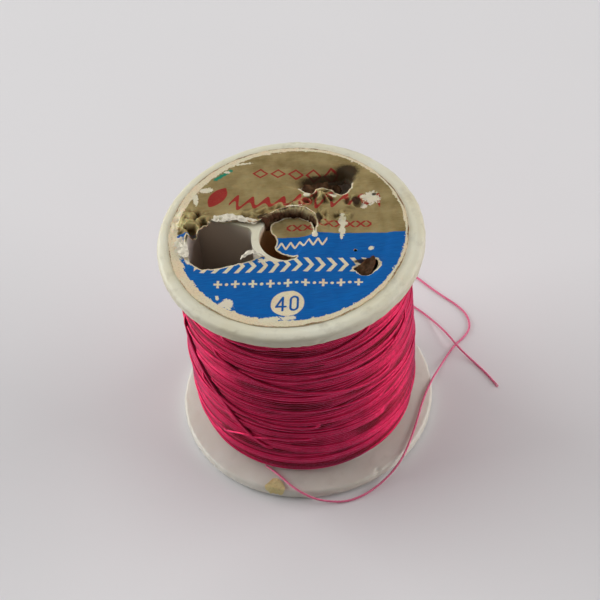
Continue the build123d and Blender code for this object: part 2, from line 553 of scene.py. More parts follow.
def bottom_label_finish():
    """The label under the spool: a blue ring and a stitched line on cream paper."""
    ring_radius = 11.0
    finish = Finish("bottom_label_print", Specular_IOR_Level=0.35)
    spot = finish.position()
    x, y, _ = finish.split(spot)
    grain = finish.grain(spot)
    fray = finish.noise(spot, 3.2, 4.0, 0.7) - 0.5
    across = abs(length(x, y - 0.3) + fray * 0.2 - ring_radius)
    ring = (across - 1.9).inside(0.08)
    turn = y.math("ARCTAN2", x) * ring_radius
    stitch = (across - 0.22).most(abs(turn.repeat(1.8)) - 0.55).inside(0.08)
    scuffs = finish.noise(spot, 0.8, 6.0, 0.75).above(0.58, 0.08)
    show = ring * (-stitch + 1.0) * (-scuffs * 0.75 + 1.0)
    flecks = grain.above(0.6, 0.3) * 0.4
    tint = finish.coats(paper_cream, (flecks, srgb(176, 146, 108)), (show, blue))
    return finish.done(tint, grain, 0.03, -show * 0.2 + 0.75)


# ---- Paper and thread finishes

def plain_paper(name, lumps, level, blur, low, high, flecks, gloss, glow):
    """Unprinted paper that goes from low to high in clouds, with flecks in its grain.

    One field moves it towards high, as a painted highlight, and another darkens it with painted shade.
    """
    finish = Finish(
        name, Roughness=0.85, Specular_IOR_Level=gloss, Subsurface_Weight=glow,
        Subsurface_Scale=0.0004,
    )
    spot = finish.position()
    grain = finish.grain(spot)
    # The field pale lifts the colour towards high, as a painted highlight
    clouds = finish.noise(spot, lumps, 4.0) + finish.field("pale") * 0.8
    tint = finish.coats(
        low,
        (clouds.above(level, blur), high),
        (grain.above(0.6, 0.2) * 0.4, flecks),
        # Painted shade where the darkening field is set
        (finish.field("painted_shade").above(0.4, 0.3) * 0.9, soil_and_shade),
    )
    return finish.done(tint, grain, 0.04)


def stain_and_shade_paper(name, low, high, level=0.6):
    """Paper clouded between two colours, with dark flecks; on the bore lining and the flaps in holes
    the colours are painted shade.
    """
    return plain_paper(name, 0.8, level, 0.6, low, high, soil_and_shade, 0.15, 0.15)


def white_paper_finish():
    """The white core of the paper, laid open where it is torn."""
    finish = Finish("torn_white_paper", Roughness=0.9, Specular_IOR_Level=0.1)
    spot = finish.position()
    clouds = finish.noise(spot, 1.2, 4.0)
    tint = finish.coats(
        srgb(212, 204, 184),
        (clouds.above(0.5, 0.5), srgb(230, 223, 206)),
        (finish.grain(spot).above(0.66, 0.2) * 0.15, srgb(150, 132, 104)),
    )
    return finish.done(tint, finish.noise(spot, 1.6, 2.0), 0.03)


def thread_finish(name, base, bright, sheen, lustre):
    """Dyed three-ply thread: twist, stray lighter fibres, a soft sheen, and painted shade between the
    plies.
    """
    finish = Finish(
        name, Roughness=0.43, Specular_IOR_Level=0.3, Specular_Tint=(1.0, 0.85, 0.95, 1.0),
        Metallic=lustre, Sheen_Weight=sheen, Sheen_Roughness=0.4, Sheen_Tint=(1.0, 0.24, 0.52, 1.0),
    )
    around_x, around_y, along = finish.split(finish.attribute("strand", "Vector"))
    around = around_y.math("ARCTAN2", around_x)
    plies = abs((around * 1.5 + along * (math.pi / 0.9)).math("SINE"))
    spot = finish.position()
    fibres = finish.noise(spot, 7.0, 4.0, 0.7)
    slow = finish.noise(spot, 0.55, 3.0)
    share = (slow * 0.5 + fibres * 0.6 - 0.05 + finish.field("tone") * 0.45).above(0.5, 0.6)
    # Painted shade in the grooves between the plies
    between_plies = (-plies + 1.0).above(0.6, 0.6) * 0.22
    tint = finish.coats(base, (share, bright), (between_plies, srgb(100, 6, 24)))
    return finish.done(tint, plies * 0.75 + fibres * 0.25, 0.014)


pack_thread = thread_finish("pink_thread", srgb(113, 2, 13), srgb(214, 34, 86), 1.0, 0.6)
tail_thread = thread_finish(
    "pink_thread_tail", srgb(222, 92, 132), srgb(240, 144, 172), 0.6, 0.15
)
printed_paper = label_finish()
bare_paper = plain_paper(
    "bare_paper", 0.7, 0.5, 0.4, srgb(216, 200, 168), srgb(196, 172, 134), srgb(150, 118, 84), 0.25, 0.3
)
# Painted shade: the bore lining's dark olive stands for the shadow down the spindle bore
shaded_olive_paper = stain_and_shade_paper("shaded_olive_paper", srgb(76, 48, 30), srgb(182, 166, 124), 0.8)
# Painted shade: the flaps' dark brown stands for the shadow inside the holes they are pushed into
shaded_brown_paper = stain_and_shade_paper("shaded_brown_paper", srgb(54, 35, 23), srgb(122, 88, 58))
scrap_paper = stain_and_shade_paper("tan_scrap_paper", srgb(204, 182, 128), srgb(222, 204, 156))
white_paper = white_paper_finish()
bottom_print = bottom_label_finish()


# ---- Camera

camera_tilt = math.radians(90.0 - 49.36)
camera_roll = math.radians(-6.38)
camera_place = (0.000282, -0.16824, 0.21576)
camera_lens = 126.0


def make_camera():
    """Looks along +Y and down, tilted a little to the side."""
    data = bpy.data.cameras.new("camera")
    data.lens = camera_lens
    data.sensor_width = 36.0
    data.clip_start = 0.01
    camera = add_object("camera", data)
    turn = Matrix.Rotation(camera_tilt, 4, "X") @ Matrix.Rotation(camera_roll, 4, "Z")
    camera.matrix_world = Matrix.Translation(camera_place) @ turn
    bpy.context.scene.camera = camera


make_camera()


# ---- Loose thread

# The loose end, its route and length in metres: off the lowest turn, across the bottom flange
# and over its rim, along the floor, over the rim again, round a loop behind the spool and
# across itself to the cut end
tail_route = [
    (-0.0063, -0.0117, 0.0024), (-0.0054, -0.0126, 0.00235), (-0.0044, -0.0137, 0.0022),
    (-0.0034, -0.015, 0.00205), (-0.0021, -0.0161, 0.00175), (-0.0006, -0.0167, 0.00105),
    (0.0012, -0.0169, 0.0004), (0.0034, -0.017, 0.00015), (0.0056, -0.0163, 0.00015),
    (0.0074, -0.0153, 0.0004), (0.009, -0.0143, 0.001), (0.0104, -0.0131, 0.0017),
    (0.0116, -0.0113, 0.0021), (0.0126, -0.009, 0.00205), (0.0135, -0.0067, 0.00205),
    (0.0143, -0.0044, 0.00205), (0.0153, -0.0021, 0.00195), (0.0163, -0.0001, 0.00165),
    (0.0172, 0.0017, 0.00095), (0.018, 0.0033, 0.00035), (0.01895, 0.00485, 0.00015),
    (0.02, 0.00615, 0.00015), (0.0214, 0.0073, 0.00015), (0.0224, 0.0089, 0.00015),
    (0.0222, 0.0111, 0.00015), (0.021, 0.013, 0.00015), (0.0195, 0.0146, 0.00015),
    (0.018, 0.0164, 0.00015), (0.0162, 0.0188, 0.00015), (0.0138, 0.0211, 0.00015),
    (0.0107, 0.0227, 0.00015), (0.0076, 0.0226, 0.00015), (0.0057, 0.0212, 0.00015),
    (0.0056, 0.0192, 0.00015), (0.0074, 0.0179, 0.00015), (0.0108, 0.017, 0.00015),
    (0.014, 0.0149, 0.00015), (0.0163, 0.0124, 0.00015), (0.0179, 0.01, 0.00035),
    (0.0191, 0.0076, 0.00085), (0.0202, 0.0052, 0.00085), (0.0212, 0.0039, 0.0004),
    (0.0222, 0.0026, 0.00015), (0.0232, 0.001, 0.00015), (0.024, -0.0005, 0.00015),
    (0.0245, -0.0016, 0.00015),
]
thread_diameter = 0.3
ply_count = 3
ply_radius = 0.078
ply_sides = 7
ply_offset = 0.07
twist_length = 1.3
fray_length = 1.6


def route_line(route):
    """The points along the route's smooth line, in millimetres."""
    curve = bpy.data.curves.new("route", "CURVE")
    curve.dimensions = "3D"
    spline = curve.splines.new("NURBS")
    spline.points.add(len(route) - 1)
    for knot, point in zip(spline.points, route):
        knot.co = (*point, 1.0)
    spline.order_u = 3
    spline.use_endpoint_u = True
    spline.resolution_u = 24
    carrier = bpy.data.objects.new("route", curve)
    mesh = bpy.data.meshes.new_from_object(carrier)
    line = np.array([vertex.co for vertex in mesh.vertices])
    bpy.data.objects.remove(carrier)
    bpy.data.curves.remove(curve)
    bpy.data.meshes.remove(mesh)
    return line / MM


def make_tail():
    """Three plies twisted about the route's line, splayed a little at the cut end."""
    line = route_line(tail_route)
    travel = travel_along(line)
    along = unit(np.gradient(line, axis=0))
    side = unit(np.cross(along, (0.0, 0.0, 1.0)))
    other = np.cross(side, along)
    splay = rise(travel, travel[-1] - fray_length, travel[-1])
    reach = ply_offset * (1 + splay)
    radius = ply_radius * (1 - 0.45 * splay)
    plies = []
    for ply in range(ply_count):
        phase = travel * 2 * math.pi / twist_length + ply * 2 * math.pi / ply_count
        lean = np.cos(phase)[:, None] * side + np.sin(phase)[:, None] * other
        centre = line + lean * reach[:, None]
        centre[:, 2] = np.maximum(centre[:, 2], ply_radius)
        plies.append(tube(centre, radius, ply_sides, other, travel))
    tail = add_tubes("loose_thread_end", plies, tail_thread)
    place(tail, "pink_thread", "thread_tail")


make_tail()


# ---- Flanges

def even_loop(outline, spacing):
    """A closed outline with its points an even distance apart."""
    closed = np.vstack((outline, outline[:1]))
    travel = travel_along(closed)
    marks = np.linspace(0.0, travel[-1], int(travel[-1] / spacing), endpoint=False)
    return np.column_stack([np.interp(marks, travel, closed[:, axis]) for axis in (0, 1)])


def outward_of(outline):
    """Unit vectors that point out of a counter-clockwise outline."""
    run = unit(np.roll(outline, -1, axis=0) - np.roll(outline, 1, axis=0))
    return np.column_stack((run[:, 1], -run[:, 0]))


def section_of(node):
    """Outline of a turned node's section, as radius and height, in order round its middle."""
    corners = np.unique(np.round(radius_and_height(node), 2), axis=0)
    out = corners - (corners.min(axis=0) + corners.max(axis=0)) / 2
    return corners[np.argsort(np.arctan2(out[:, 1], out[:, 0]))]


flange_steps = 360
bead_height = 0.13
bead_middle = 15.05
bead_width = 0.42
nick_depth = 0.2


def make_flange(node, finish, seed, face_height, up):
    """The CAD flange's section turned round, with a raised bead, soft waves and small nicks.

    face_height is as far as its flat face may go, and up is the way that it faces.
    """
    outline = even_loop(section_of(node), 0.12)
    radius, height = np.repeat(outline, flange_steps, axis=0).T
    out_r, out_z = np.repeat(outward_of(outline), flange_steps, axis=0).T
    turn = np.tile(np.arange(flange_steps) * 2 * math.pi / flange_steps, len(outline))
    points = about_axis(radius, turn, height)
    waves = waver(points, 3.5, seed) * 0.045 + waver(points, 1.1, seed + 1) * 0.026
    wear = waver(points, 0.7, seed + 4) * 0.05 * rise(radius, 15.3, 15.7)
    nicks = rise(waver(points, 0.8, seed + 2), 0.38, 0.7) * rise(radius, 15.0, 15.5)
    nicks *= rise(waver(points, 5.0, seed + 3), -0.1, 0.25)
    push = (waves + wear - nicks * nick_depth) * rise(radius, 13.2, 14.6)
    bead = bead_height * np.exp(-(((radius - bead_middle) / bead_width) ** 2))
    height = height + out_z * push + up * bead * np.clip(out_z * up, 0, 1)
    height = up * np.minimum(up * height, up * face_height)
    faces = grid_faces(len(outline), flange_steps, wrap_rows=True, wrap_columns=True)
    points = about_axis(radius + out_r * push, turn, height)
    flange = add_mesh(node + "_moulding", points, faces, [finish], crease=75)
    place(flange, "cream_plastic", node)


make_flange("top_flange", flange_plastic, 1.0, label_high[2], 1)
make_flange("bottom_flange", base_plastic, 5.0, 0.0, -1)


# ---- Sheets of torn paper

def ragged(loop, rough, fine, seed):
    """A loop made uneven, coarsely and finely, by up to the distances given."""
    spots = on_plane(loop)
    push = waver(spots, 0.9, seed) * rough + waver(spots, 0.28, seed + 1) * fine
    return loop + outward_of(loop) * push[:, None]


def torn_loop(knots, spacing, rough=0.0, fine=0.0, seed=0.0):
    """A smooth closed line through the knots, with the uneven edge of torn paper."""
    knots = np.array(knots, dtype=float)
    before, after, later = (np.roll(knots, shift, axis=0) for shift in (1, -1, -2))
    share = np.linspace(0, 1, 12, endpoint=False)[:, None, None]
    line = 0.5 * (
        2 * knots
        + (after - before) * share
        + (2 * before - 5 * knots + 4 * after - later) * share**2
        + (3 * knots - before - 3 * after + later) * share**3
    )
    return ragged(even_loop(line.transpose(1, 0, 2).reshape(-1, 2), spacing), rough, fine, seed)


def within(points, loop):
    """Which points lie inside a closed loop."""
    x, y = points[:, 0][:, None], points[:, 1][:, None]
    x0, y0 = loop[:, 0][None], loop[:, 1][None]
    x1, y1 = np.roll(loop[:, 0], -1)[None], np.roll(loop[:, 1], -1)[None]
    spans = (y0 > y) != (y1 > y)
    level = np.where(spans, y1 - y0, 1.0)
    return (spans & (x < x0 + (y - y0) / level * (x1 - x0))).sum(axis=1) % 2 == 1


def on_paper(points, outer, holes):
    """Which points lie inside the outline and in none of its holes."""
    return within(points, outer) & ~np.any([within(points, hole) for hole in holes], axis=0)


def nearness(points, loop):
    """Distance from each point to the nearest point of a loop."""
    nearest = np.full(len(points), np.inf)
    for start in range(0, len(loop), 200):
        part = loop[start:start + 200]
        apart = np.linalg.norm(points[:, None] - part[None], axis=2)
        nearest = np.minimum(nearest, apart.min(axis=1))
    return nearest


def paper_points(outer, holes, spacing):
    """Points and triangles that fill an outline and leave its holes open."""
    loops = [outer, *holes]
    low, high = outer.min(axis=0), outer.max(axis=0)
    lattice = []
    for number, level in enumerate(np.arange(low[1], high[1], spacing * 0.87)):
        across = np.arange(low[0] + (number % 2) * spacing / 2, high[0], spacing)
        lattice.append(np.column_stack((across, np.full(len(across), level))))
    lattice = np.vstack(lattice)
    lattice = lattice[on_paper(lattice, outer, holes)]
    clear = np.min([nearness(lattice, loop) for loop in loops], axis=0) > spacing * 0.55
    edges = []
    count = 0
    for loop in loops:
        ring = np.arange(count, count + len(loop))
        edges += np.column_stack((ring, np.roll(ring, -1))).tolist()
        count += len(loop)
    spots = np.vstack((*loops, lattice[clear]))
    found = delaunay_2d_cdt([Vector(spot) for spot in spots], edges, [], 0, 1e-6)
    spots = np.array([tuple(spot) for spot in found[0]])
    triangles = np.array(found[2])
    return spots, triangles[on_paper(spots[triangles].mean(axis=1), outer, holes)]


def make_sheet(name, outer, spacing, lift, thickness, finishes, holes=(), fields=None):
    """Paper of an even thickness. lift gives the height of its underside at each point.

    finishes are those of its top and of its edge and underside, and each field is worked out
    at its points.
    """
    spots, triangles = paper_points(outer, holes, spacing)
    base = lift(spots)
    count = len(spots)
    points = np.vstack([np.column_stack((spots, base + up)) for up in (thickness, 0)])
    runs = np.vstack((triangles[:, [0, 1]], triangles[:, [1, 2]], triangles[:, [2, 0]]))
    known = {tuple(run) for run in runs.tolist()}
    border = sorted(run for run in known if (run[1], run[0]) not in known)
    faces = triangles.tolist()
    faces += (triangles[:, ::-1] + count).tolist()
    faces += [[b, a, a + count, b + count] for a, b in border]
    face_finish = [0] * len(triangles) + [1] * (len(triangles) + len(border))
    values = {"flat": np.tile(on_plane(spots), (2, 1))}
    for field, sample in (fields or {}).items():
        values[field] = np.tile(sample(spots), 2)
    return add_mesh(name, points, faces, finishes, face_finish, values)


# ---- Top label

# Outlines of the holes torn through the label. The first runs round the open chamber on the
# left, over the rim of the spindle tube, and round a tongue of paper that is pushed down it.
chamber_and_bore_hole = [
    (-12.35, 1.55), (-12.66, 0.2), (-12.72, -1.5), (-12.2, -2.45), (-11.4, -3.2), (-10.55, -3.74),
    (-9.0, -3.68), (-7.5, -3.52), (-6.1, -3.3), (-5.1, -3.12), (-4.3, -2.9), (-3.5, -2.75),
    (-3.0, -3.1), (-2.3, -3.72), (-0.9, -3.8), (0.1, -3.62), (0.55, -3.38), (0.15, -3.12),
    (-0.35, -2.75), (-1.1, -2.25), (-1.75, -1.6), (-2.0, -1.0), (-1.75, -0.3), (-1.75, 0.4),
    (-2.0, 1.1), (-2.25, 1.8), (-2.2, 2.5), (-1.75, 3.0), (-0.9, 3.4), (0.0, 3.62), (0.9, 3.56),
    (1.7, 3.2), (2.35, 2.75), (2.75, 2.1), (2.93, 1.3), (2.94, 0.5), (3.06, 0.42), (3.3, 1.4),
    (3.22, 2.45), (2.75, 3.25), (1.95, 3.9), (0.9, 4.27), (-0.15, 4.22), (-1.2, 3.92),
    (-2.2, 3.5), (-3.0, 3.05), (-3.6, 2.6), (-4.3, 2.6), (-5.0, 2.9), (-6.0, 3.3), (-6.9, 3.35),
    (-7.9, 3.25), (-8.7, 3.6), (-9.15, 3.72), (-9.55, 3.25), (-10.1, 2.6), (-10.75, 1.95),
    (-11.3, 1.2), (-11.9, 1.35),
]
back_hole = [
    (1.62, 8.1), (2.3, 8.85), (3.4, 9.0), (4.5, 9.2), (5.6, 9.0), (6.6, 9.1), (7.4, 8.95),
    (7.85, 8.5), (8.15, 7.9), (8.1, 7.3), (7.7, 6.6), (7.3, 6.05), (6.6, 5.8), (5.95, 6.1),
    (5.5, 6.8), (4.75, 7.2), (4.15, 7.0), (3.3, 6.5), (2.6, 6.6), (1.9, 7.35),
]
leaf_hole = [
    (6.9, -5.8), (7.7, -5.48), (8.66, -5.0), (9.5, -4.72), (9.92, -5.0), (9.6, -6.05),
    (8.7, -7.0), (7.7, -6.85), (7.15, -6.3),
]
pin_hole = [(7.2, -3.3), (7.42, -3.08), (7.64, -3.32), (7.44, -3.54)]

# Places where the print is torn off, and places that painted shade darkens in dents and by holes:
# x, y, half width and half height
bare_places = [
    (10.1, 4.7, 1.25, 1.1), (9.2, 3.6, 0.5, 0.45), (6.35, 1.5, 0.62, 1.0), (6.15, 0.1, 0.42, 1.0),
    (5.95, -0.9, 0.26, 0.6), (-8.1, -9.5, 0.75, 1.0), (-8.6, -9.6, 0.9, 0.5),
    (-9.3, -8.4, 0.25, 0.5), (-3.4, -12.6, 1.6, 0.45), (-1.2, -12.7, 0.9, 0.4),
    (-13.2, -0.5, 0.8, 1.3), (-12.2, -2.2, 0.7, 0.6), (9.35, -3.15, 0.42, 0.3),
    (-10.9, 7.4, 0.35, 1.1), (-13.2, 0.8, 0.8, 0.8), (-4.6, 12.7, 1.4, 0.2), (0.6, 4.45, 1.4, 0.16),
    (2.45, 6.35, 0.55, 0.5), (5.6, 5.6, 0.7, 0.3), (-8.3, 3.8, 0.95, 0.5), (-6.6, 3.8, 0.7, 0.28),
    (2.9, 0.0, 0.35, 0.8), (-3.3, -3.4, 1.0, 0.3), (-9.6, 8.9, 0.9, 0.5), (-6.9, 11.6, 0.5, 0.25),
]
painted_shade_places = [
    (4.7, 9.4, 3.1, 0.7), (7.6, 9.5, 1.6, 1.2), (7.0, 8.6, 1.7, 0.7), (10.55, 5.3, 0.3, 0.22),
    (8.3, 4.4, 0.55, 0.7), (-2.9, 3.4, 1.0, 0.45), (3.6, 2.2, 0.35, 1.0), (8.2, -5.0, 1.3, 0.3),
]

# Crumpled places, and for each how tall its folds are, their size and their seed
crumpled_places = [
    ((-11.4, 3.2, 1.9, 2.2), 1.35, 1.4, 4.0),
    ((4.3, 5.8, 1.7, 1.2), 0.9, 1.3, 6.0),
    ((8.0, 4.4, 1.3, 1.0), 0.4, 0.9, 9.0),
    ((-4.6, 4.3, 3.2, 0.9), 0.22, 1.2, 10.0),
    ((0.2, 4.9, 3.6, 0.7), 0.2, 0.8, 18.0),
    ((4.1, 2.2, 0.9, 1.9), 0.25, 0.8, 20.0),
    ((6.5, 2.4, 1.2, 0.8), 0.35, 0.8, 12.0),
    ((-8.4, 3.9, 1.1, 0.5), 0.45, 0.7, 14.0),
    ((2.2, 5.2, 0.9, 0.9), 0.45, 1.0, 16.0),
]

# The tongue: its reach from the axis at each angle, and the line that it bends down from.
# Then the label's thickness, how far its edges stand up or hang, the lowest it may go, and
# its clearance over the top flange
tongue_angles = (-140.0, -115.0, -100.0, -84.0, -30.0, 6.0, 24.0, 40.0, 52.0, 67.0, 120.0, 180.0)
tongue_radii = (3.95, 3.8, 3.55, 3.35, 3.8, 3.0, 3.25, 3.65, 3.78, 3.85, 3.8, 3.8)
hinge_point = (2.98, 0.33)
hinge_normal = (-0.819, 0.574)
tongue_drop = 0.8
paper_thickness = 0.13
collar_height = 0.45
rear_droop = 1.5
deepest = -3.0
flange_clearance = 0.006

# The seen label's middle, a little left of the CAD label's
label_middle = (label_low + label_high)[:2] / 2 + (-0.16, 0.0)
edge_turn = np.linspace(0, 2 * math.pi, 720, endpoint=False)
label_circle = label_middle + about_axis(label_radius, edge_turn, 0.0)[:, :2]
label_edge = ragged(label_circle, 0.07, 0.03, 3.0)
main_hole = torn_loop(chamber_and_bore_hole, 0.09, 0.07, 0.05, 11.0)
rear_hole = torn_loop(back_hole, 0.09, 0.1, 0.07, 13.0)
small_hole = torn_loop(leaf_hole, 0.09, 0.04, 0.05, 17.0)
puncture = torn_loop(pin_hole, 0.07)


def bell(spots, x, y, half_width, half_height):
    """1 at a place's middle, falling smoothly to 0 past its edge."""
    across = (spots[:, 0] - x) / half_width
    return np.exp(-(across**2) - ((spots[:, 1] - y) / half_height) ** 2)


def in_places(places):
    """A field that is 1 in the middles of the places."""
    return lambda spots: np.max([bell(spots, *spot) for spot in places], axis=0)


def torn(spots):
    """Distance to the nearest torn hole."""
    return np.min([nearness(spots, hole) for hole in (main_hole, rear_hole, small_hole)], axis=0)


def from_rim(spots):
    return label_radius - np.hypot(*(spots - label_middle).T)


def unsupported(spots):
    """How far a point of the paper is from what holds it up, and 0 on it."""
    radius = np.hypot(*spots.T)
    gap = np.minimum(barrel_bore_radius - radius, radius - tube_outer_radius)
    for angle in np.radians(web_angles):
        along = spots @ np.array((math.cos(angle), math.sin(angle)))
        across = spots @ np.array((-math.sin(angle), math.cos(angle)))
        gap = np.where(along > 0, np.minimum(gap, np.abs(across) - web_thickness / 2), gap)
    return np.maximum(gap, 0)


def crumple(spots):
    """Height that the folds add at each point, and how far it is a ridge or a valley."""
    solid = on_plane(spots)
    bend = np.column_stack((waver(solid, 1.1, 90.0), waver(solid, 1.1, 91.0)))
    bent = solid + 0.7 * on_plane(bend)
    height = np.zeros(len(spots))
    fold = np.zeros(len(spots))
    for spot, tall, size, seed in crumpled_places:
        share = bell(spots, *spot)
        coarse = creases(bent, size, seed)
        fine = creases(bent, size * 0.4, seed + 1)
        height += share * tall * (0.1 + 0.8 * coarse + 0.3 * fine)
        strength = min(0.25 + tall, 1.0)
        fold += strength * rise(share, 0.15, 0.6) * (coarse * 2.2 + fine * 1.1 - 2.0)
    return height, np.clip(fold, -1, 1)


def label_height(spots):
    """Height of the label's underside: slack over the hollows, crumpled and torn."""
    solid = on_plane(spots)
    radius = np.hypot(*spots.T)
    angle = np.degrees(np.arctan2(spots[:, 1], spots[:, 0]))
    gap = unsupported(spots)
    loose = rise(gap, 0.0, 1.2)
    hollow = rise(gap, 0.0, 1.0)
    at_tear = np.exp(-torn(spots) / 0.5)
    height = loose * (0.09 * waver(solid, 2.2, 1.0) + 0.05 * creases(solid, 1.6, 2.0) - 0.2)
    height += 0.16 * waver(solid, 0.7, 3.0) * at_tear
    on_tongue = radius < np.interp(angle, tongue_angles, tongue_radii)
    from_hinge = (spots - hinge_point) @ np.array(hinge_normal)
    sag = tongue_drop * (1 - np.exp(-np.maximum(from_hinge, 0) / 0.8))
    sag -= 0.1 * creases(solid, 1.5, 8.0) * rise(from_hinge, 0.5, 2.5)
    height -= np.where(on_tongue, sag, 0)
    collar = (radius > 2.95) & ~on_tongue & (radius < 6.0) & (angle > -5) & (angle < 150)
    height += np.where(collar, collar_height * at_tear, 0)
    height += crumple(spots)[0]
    by_rear_hole = np.exp(-nearness(spots, rear_hole) / 0.9) * rise(spots[:, 1], 7.5, 8.9)
    height -= rear_droop * by_rear_hole * hollow
    height -= 0.35 * np.exp(-nearness(spots, small_hole) / 0.35) * loose
    lowest = np.where(on_tongue, deepest, flange_clearance + deepest * hollow)
    return label_plane + np.maximum(height, lowest)


label = make_sheet(
    "torn_top_label",
    label_edge,
    0.15,
    label_height,
    paper_thickness,
    [printed_paper, bare_paper],
    [main_hole, rear_hole, small_hole, puncture],
    {
        "torn": torn,
        "bare": in_places(bare_places),
        "painted_shade": in_places(painted_shade_places),
        "fold": lambda spots: crumple(spots)[1],
        "rim": from_rim,
    },
)
place(label, "printed_paper", "top_label")


# ---- Small pieces of torn paper

shred_thickness = 0.09
flap_thickness = 0.1
scrap_thickness = 0.08
lining_thickness = 0.06


def make_shred(name, outline, middle, reach, tall, seed):
    """A fibrous white lip of paper that stands up in an arch along a torn edge."""

    def lift(spots):
        arch = np.clip(1 - ((spots[:, 0] - middle) / reach) ** 2, 0, 1)
        folds = 0.22 * creases(on_plane(spots), 0.6, seed + 10) - 0.1
        return label_plane + paper_thickness + 0.05 + tall * arch + np.maximum(folds, -0.1)

    loop = torn_loop(outline, 0.07, 0.08, 0.06, seed)
    place(make_sheet(name, loop, 0.09, lift, shred_thickness, [white_paper] * 2), "bare_paper")


front_shred = [
    (-6.2, -3.1), (-5.95, -2.6), (-5.3, -2.25), (-4.4, -2.25), (-3.5, -2.6), (-3.2, -2.95),
    (-4.1, -2.7), (-5.1, -2.75), (-5.7, -2.95),
]
web_shred = [
    (-9.25, 3.8), (-8.9, 4.35), (-8.2, 4.15), (-7.5, 4.25), (-6.6, 4.05), (-5.8, 3.75),
    (-5.0, 3.4), (-4.3, 3.1), (-3.75, 2.75), (-3.95, 2.4), (-4.6, 2.45), (-5.4, 2.75),
    (-6.3, 3.05), (-7.2, 3.1), (-8.0, 3.15), (-8.7, 3.35),
]
left_shred = [
    (-13.5, 0.2), (-12.95, 0.75), (-12.45, 0.5), (-12.2, -0.7), (-12.3, -1.6), (-12.8, -1.9),
    (-13.4, -1.2),
]
make_shred("label_shred_front", front_shred, -4.75, 1.5, 0.5, 21)
make_shred("label_shred_web", web_shred, -6.3, 3.4, 0.34, 22)
make_shred("label_shred_left", left_shred, -12.9, 1.2, 0.2, 23)


# The lining's top edge, in the bore: its reach from the axis at each angle
collar_angles = (0.0, 8.0, 24.0, 37.0, 50.0, 63.5, 78.0, 92.0, 107.0, 122.0, 134.0, 142.0, 150.0)
collar_radii = (3.1, 3.12, 3.6, 4.04, 4.25, 4.36, 4.36, 4.22, 4.1, 4.17, 4.35, 4.5, 4.6)


def make_shell(name, grid, thickness, finish, fields):
    """A thin closed shell with one face on a grid of points."""
    rows, columns = grid.shape[:2]
    out = unit(np.cross(np.gradient(grid, axis=0), np.gradient(grid, axis=1)))
    points = np.vstack((grid.reshape(-1, 3), (grid + out * thickness).reshape(-1, 3)))
    count = rows * columns
    faces = grid_faces(rows, columns)
    faces += [[corner + count for corner in reversed(face)] for face in faces]
    index = np.arange(count).reshape(rows, columns)
    border = np.concatenate((index[0, :-1], index[:-1, -1], index[-1, :0:-1], index[:0:-1, 0]))
    next_on = np.roll(border, -1)
    faces += np.stack((border, next_on, next_on + count, border + count), axis=-1).tolist()
    return add_mesh(name, points, faces, [finish], fields=fields)


def make_bore_lining():
    """The label's edge where it is curled down into the spindle bore behind the tongue."""
    degrees = np.linspace(6.0, 140.0, 150)
    turn = np.radians(degrees)[None, :]
    share = np.linspace(0, 1, 14)[:, None]
    crest = np.interp(degrees, collar_angles, collar_radii) + 0.06
    wall = np.minimum(crest - 0.1, tube_inner_radius - 0.14)
    reach = wall + (crest - wall) * np.clip(1 - share / 0.35, 0, 1) ** 1.6
    bumps = waver(about_axis(reach, turn, share).reshape(-1, 3), 0.6, 44.0).reshape(reach.shape)
    reach = reach - 0.35 * np.abs(bumps) * rise(share, 0.05, 0.4)
    tatter = np.array([noise.noise(Vector((angle / 9.0, 3.3, 0.0))) for angle in degrees])
    ripple = np.array([noise.noise(Vector((angle / 3.2, 8.1, 0.0))) for angle in degrees])
    top = label_plane + paper_thickness + 0.36 + 0.3 * tatter + 0.16 * ripple
    level = top - share**1.3 * (1.6 + 0.7 * tatter)
    # Painted highlight along the lining's crest, fading to painted shade down the bore and towards its
    # far end
    pale = np.maximum((1.15 - 6 * share) * rise(degrees, 150.0, 90.0), 0)
    fields = {"pale": np.tile(pale.ravel(), 2)}
    grid = about_axis(reach, turn, level)
    lining = make_shell("label_bore_lining", grid, lining_thickness, shaded_olive_paper, fields)
    place(lining, "bare_paper")


make_bore_lining()


def make_flap(name, outline, point, slopes, seed):
    """Torn paper pushed down into a hole. It passes through a point under the label."""

    def lift(spots):
        solid = on_plane(spots)
        folds = 0.3 * creases(solid, 1.1, seed) + 0.14 * creases(solid, 0.45, seed + 0.5)
        return label_plane + point[2] + (spots - point[:2]) @ np.array(slopes) + folds

    loop = torn_loop(outline, 0.09, 0.1, 0.06, seed)
    place(make_sheet(name, loop, 0.12, lift, flap_thickness, [shaded_brown_paper] * 2), "bare_paper")


back_flap = [
    (1.9, 8.0), (2.6, 9.0), (4.4, 9.3), (6.2, 9.3), (6.9, 8.6), (6.0, 7.8), (4.7, 7.4),
    (3.3, 6.9), (2.4, 7.0),
]
leaf_flap = [
    (7.0, -5.9), (8.0, -5.3), (9.3, -4.85), (9.6, -5.4), (9.2, -6.3), (8.4, -6.9), (7.5, -6.6),
]
make_flap("label_flap_back", back_flap, (4.2, 9.2, -1.5), (-0.25, 0.55), 71)
make_flap("label_flap_leaf", leaf_flap, (8.2, -5.3, -0.45), (0.3, 0.5), 72)

scrap_outline = [
    (-5.5, -13.55), (-4.85, -13.75), (-4.35, -14.5), (-4.2, -15.25), (-4.7, -15.45),
    (-5.5, -15.15), (-6.3, -14.85), (-6.7, -14.4), (-6.1, -14.0),
]
scrap_gap = 0.1
upper_face_drop = 0.9
rim_slope = 3.0


